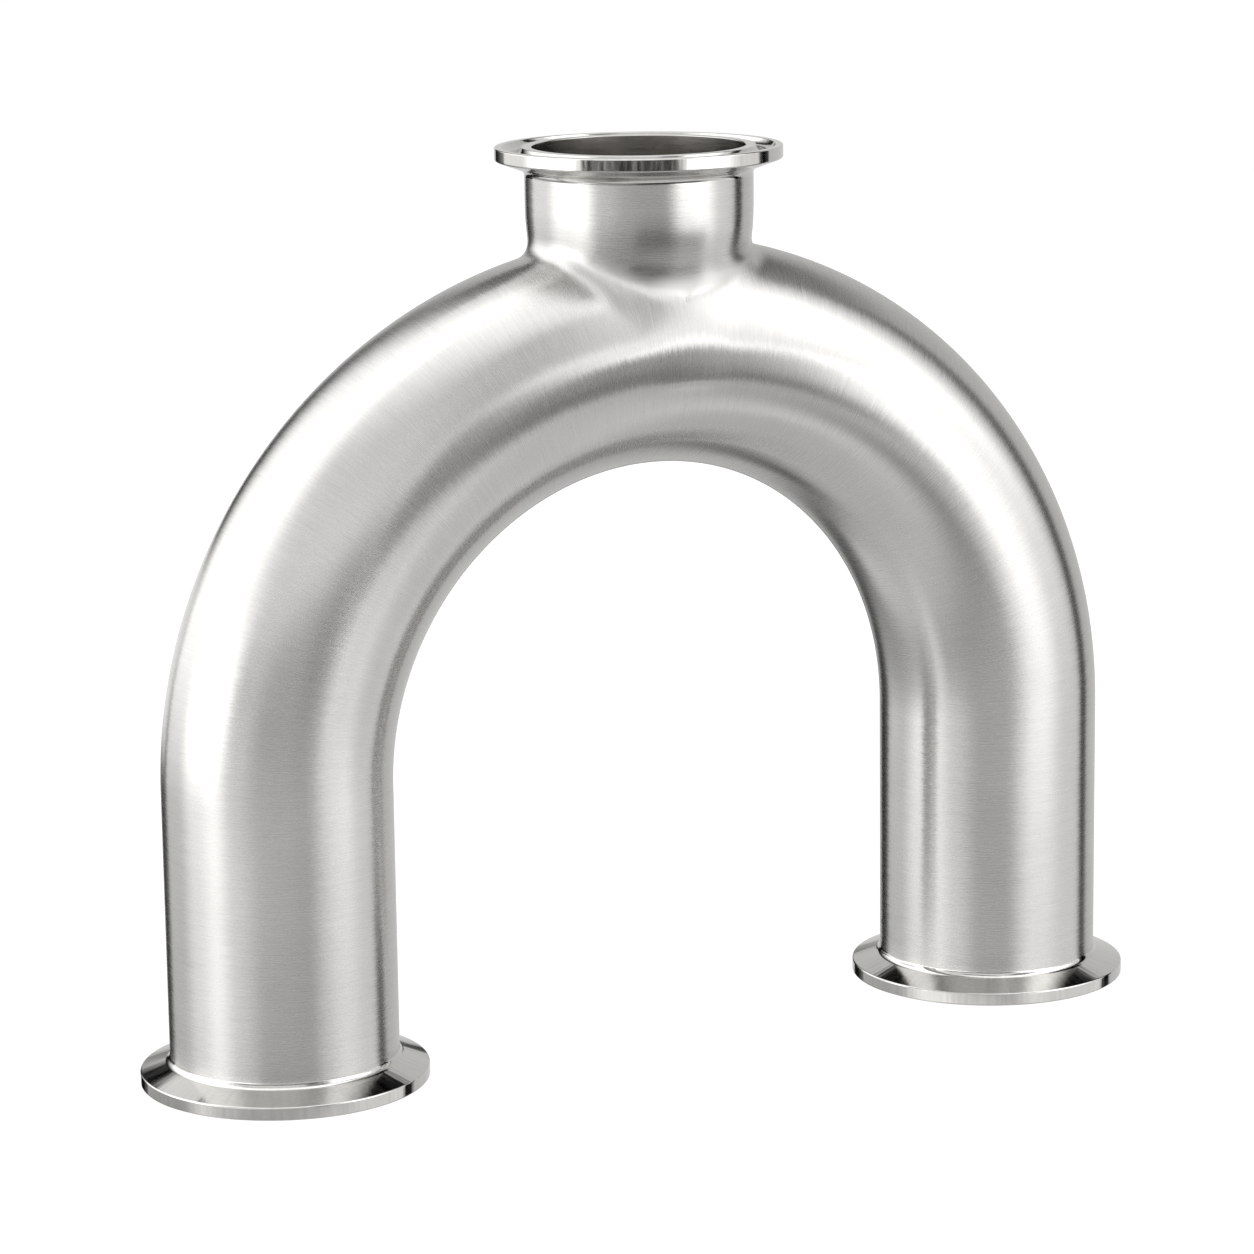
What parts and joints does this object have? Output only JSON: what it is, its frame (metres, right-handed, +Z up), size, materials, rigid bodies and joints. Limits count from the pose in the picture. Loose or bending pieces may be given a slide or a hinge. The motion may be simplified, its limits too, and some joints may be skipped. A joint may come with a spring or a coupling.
{
  "type": "sanitary tee",
  "caption": "U-shaped sanitary tee: a half-turn stainless bend whose legs point down and whose branch rises from the crown, each end with a clamp ferrule.",
  "frame": {"origin": "midway between the two legs, on the plane of the leg ferrules' sealing faces", "axes": "+X from the left leg to the right leg, +Y to the back, +Z up along the branch"},
  "size_m": [0.244, 0.064, 0.2015],
  "materials": {
    "brushed_tube": "brushed round the tube, satin",
    "polished_ferrule": "turned and polished"
  },
  "bodies": {
    "root": {"bend_tube": "brushed_tube", "branch_ferrule": "polished_ferrule", "left_leg_ferrule": "polished_ferrule", "right_leg_ferrule": "polished_ferrule"}
  },
  "joints": []
}
